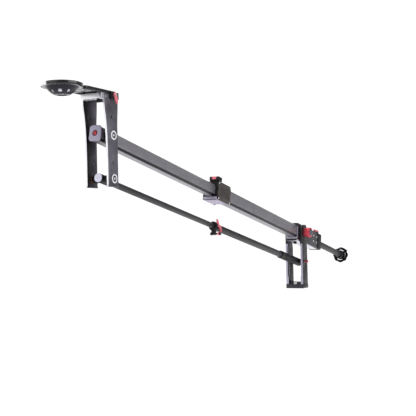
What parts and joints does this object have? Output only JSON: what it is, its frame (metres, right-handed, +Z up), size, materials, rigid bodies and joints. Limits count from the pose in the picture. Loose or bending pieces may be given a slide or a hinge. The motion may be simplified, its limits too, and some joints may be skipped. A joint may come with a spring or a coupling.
{
  "type": "camera jib crane",
  "caption": "Telescoping camera jib crane with a square two-stage boom, a parallel levelling rod, an upright head with a half-ball bowl and a counterweight rod.",
  "frame": {"origin": "centre of the base bracket's underside, where it stands on a tripod or dolly", "axes": "+Z up, -X towards the camera head, +X towards the counterweight rod, -Y is the side with the red tilt knob"},
  "size_m": [1.9078, 0.107, 0.5547],
  "materials": {
    "black_anodised": "satin black anodised aluminium",
    "carbon_tube": "dark grey tube with a faint diagonal weave",
    "black_plastic": "black moulded plastic",
    "bowl_gloss": "glossy black",
    "red_anodised": "red anodised aluminium",
    "satin_silver": "satin clear anodised aluminium",
    "steel": "plain steel",
    "bronze": "sintered bronze"
  },
  "bodies": {
    "base": {"base_yoke": "black_anodised", "thread_insert_large": "steel", "thread_insert_small": "steel", "rear_plate_near": "black_anodised", "rear_plate_far": "black_anodised", "tilt_axle": "steel", "rod_axle": "steel", "rod_axle_cap": "red_anodised"},
    "tilt_knob": {"tilt_lock_knob": "red_anodised", "tilt_knob_cap": "black_plastic"},
    "boom_rear": {"tail_housing": "black_anodised", "rear_tube": "carbon_tube", "boom_bush_near": "bronze", "boom_bush_far": "bronze", "tail_core": "black_plastic", "tail_base_plate": "satin_silver", "tail_end_cap": "black_plastic", "mid_clamp_body": "black_anodised", "mid_clamp_plate_near": "black_plastic", "mid_clamp_plate_far": "black_plastic", "mid_clamp_base_plate": "satin_silver", "mid_clamp_saddle": "black_plastic"},
    "housing_screw": {"housing_thumb_screw": "black_plastic"},
    "tail_lever": {"tail_clamp_lever": "red_anodised"},
    "mid_lever": {"mid_clamp_lever": "red_anodised"},
    "counterweight_bar": {"counterweight_rod": "carbon_tube", "weight_rod_plug": "black_plastic", "weight_stop_collar": "black_anodised"},
    "hand_wheel": {"hand_wheel": "black_plastic"},
    "wheel_latch": {"wheel_latch": "black_plastic"},
    "boom_front": {"front_tube": "carbon_tube", "nose_cap": "satin_silver", "nose_plug": "red_anodised", "tube_bush_near": "black_plastic", "tube_bush_far": "black_plastic"},
    "head": {"head_plate_near": "black_anodised", "head_plate_far": "black_anodised", "head_axle_upper": "black_anodised", "head_axle_lower": "black_anodised", "pivot_ring_upper_near": "satin_silver", "pivot_ring_upper_far": "satin_silver", "pivot_ring_lower_near": "satin_silver", "pivot_ring_lower_far": "satin_silver", "pivot_washer_near": "bronze", "pivot_washer_far": "bronze", "head_cross_block": "satin_silver", "head_clamp_end": "satin_silver", "head_rear_spacer": "black_anodised", "platform_plate": "black_anodised", "bowl_adapter": "bowl_gloss", "head_lever_hub": "black_plastic"},
    "head_lever": {"head_lever": "red_anodised"},
    "rod_rear": {"rod_sleeve": "black_plastic", "rod_rear_tube": "carbon_tube", "rod_clamp_collar": "black_plastic", "rod_clamp_bolt": "black_anodised"},
    "rod_lever": {"rod_clamp_lever": "red_anodised"},
    "rod_front": {"rod_front_tube": "carbon_tube", "rod_end_fitting": "black_plastic", "rod_end_disc": "satin_silver"}
  },
  "joints": [
    {"name": "boom_tilt", "type": "hinge", "parent": "base", "child": "boom_rear", "pos_m": [0, 0, 0.2], "axis": [0, 1, 0], "range_deg": [-56, 34]},
    {"name": "rod_tilt", "type": "hinge", "parent": "base", "child": "rod_rear", "pos_m": [0, 0, 0.096], "axis": [0, 1, 0], "range_deg": [-56, 34]},
    {"name": "boom_extend", "type": "slide", "parent": "boom_rear", "child": "boom_front", "axis": [0.9799, 0, -0.1994], "range_m": [0, 0.42]},
    {"name": "rod_extend", "type": "slide", "parent": "rod_rear", "child": "rod_front", "axis": [0.9799, 0, -0.1994], "range_m": [0, 0.42]},
    {"name": "head_level", "type": "hinge", "parent": "boom_front", "child": "head", "pos_m": [-1.21119, 0, 0.44642], "axis": [0, 1, 0], "range_deg": [-34, 56]},
    {"name": "counterweight_slide", "type": "slide", "parent": "boom_rear", "child": "counterweight_bar", "axis": [0.9799, 0, -0.1994], "range_m": [-0.05, 0.04]},
    {"name": "wheel_spin", "type": "hinge", "parent": "counterweight_bar", "child": "hand_wheel", "pos_m": [0.47232, 0, 0.1039], "axis": [0.9799, 0, -0.1994], "continuous": true},
    {"name": "latch_turn", "type": "hinge", "parent": "hand_wheel", "child": "wheel_latch", "pos_m": [0.47114, 0, 0.13221], "axis": [0.9799, 0, -0.1994], "range_deg": [-60, 5]},
    {"name": "tilt_knob_turn", "type": "hinge", "parent": "base", "child": "tilt_knob", "pos_m": [0, -0.05, 0.2], "axis": [0, 1, 0], "continuous": true},
    {"name": "housing_screw_turn", "type": "hinge", "parent": "boom_rear", "child": "housing_screw", "pos_m": [-0.0115, 0, 0.16356], "axis": [0.1994, 0, 0.9799], "continuous": true},
    {"name": "tail_lever_turn", "type": "hinge", "parent": "boom_rear", "child": "tail_lever", "pos_m": [0.18207, -0.011, 0.20209], "axis": [0.1994, 0, 0.9799], "range_deg": [-90, 60]},
    {"name": "mid_lever_turn", "type": "hinge", "parent": "boom_rear", "child": "mid_lever", "pos_m": [-0.64647, -0.0045, 0.36959], "axis": [0.1994, 0, 0.9799], "range_deg": [-80, 0]},
    {"name": "head_lever_turn", "type": "hinge", "parent": "head", "child": "head_lever", "pos_m": [-1.21319, -0.04335, 0.54282], "axis": [0, 1, 0], "range_deg": [-60, 60]},
    {"name": "rod_lever_turn", "type": "hinge", "parent": "rod_rear", "child": "rod_lever", "pos_m": [-0.64242, -0.01715, 0.20374], "axis": [0, 1, 0], "range_deg": [-40, 90]}
  ],
  "couplings": [
    {"joint": "rod_tilt", "follows": "boom_tilt", "ratio": 1},
    {"joint": "head_level", "follows": "boom_tilt", "ratio": -1},
    {"joint": "rod_extend", "follows": "boom_extend", "ratio": 1}
  ]
}
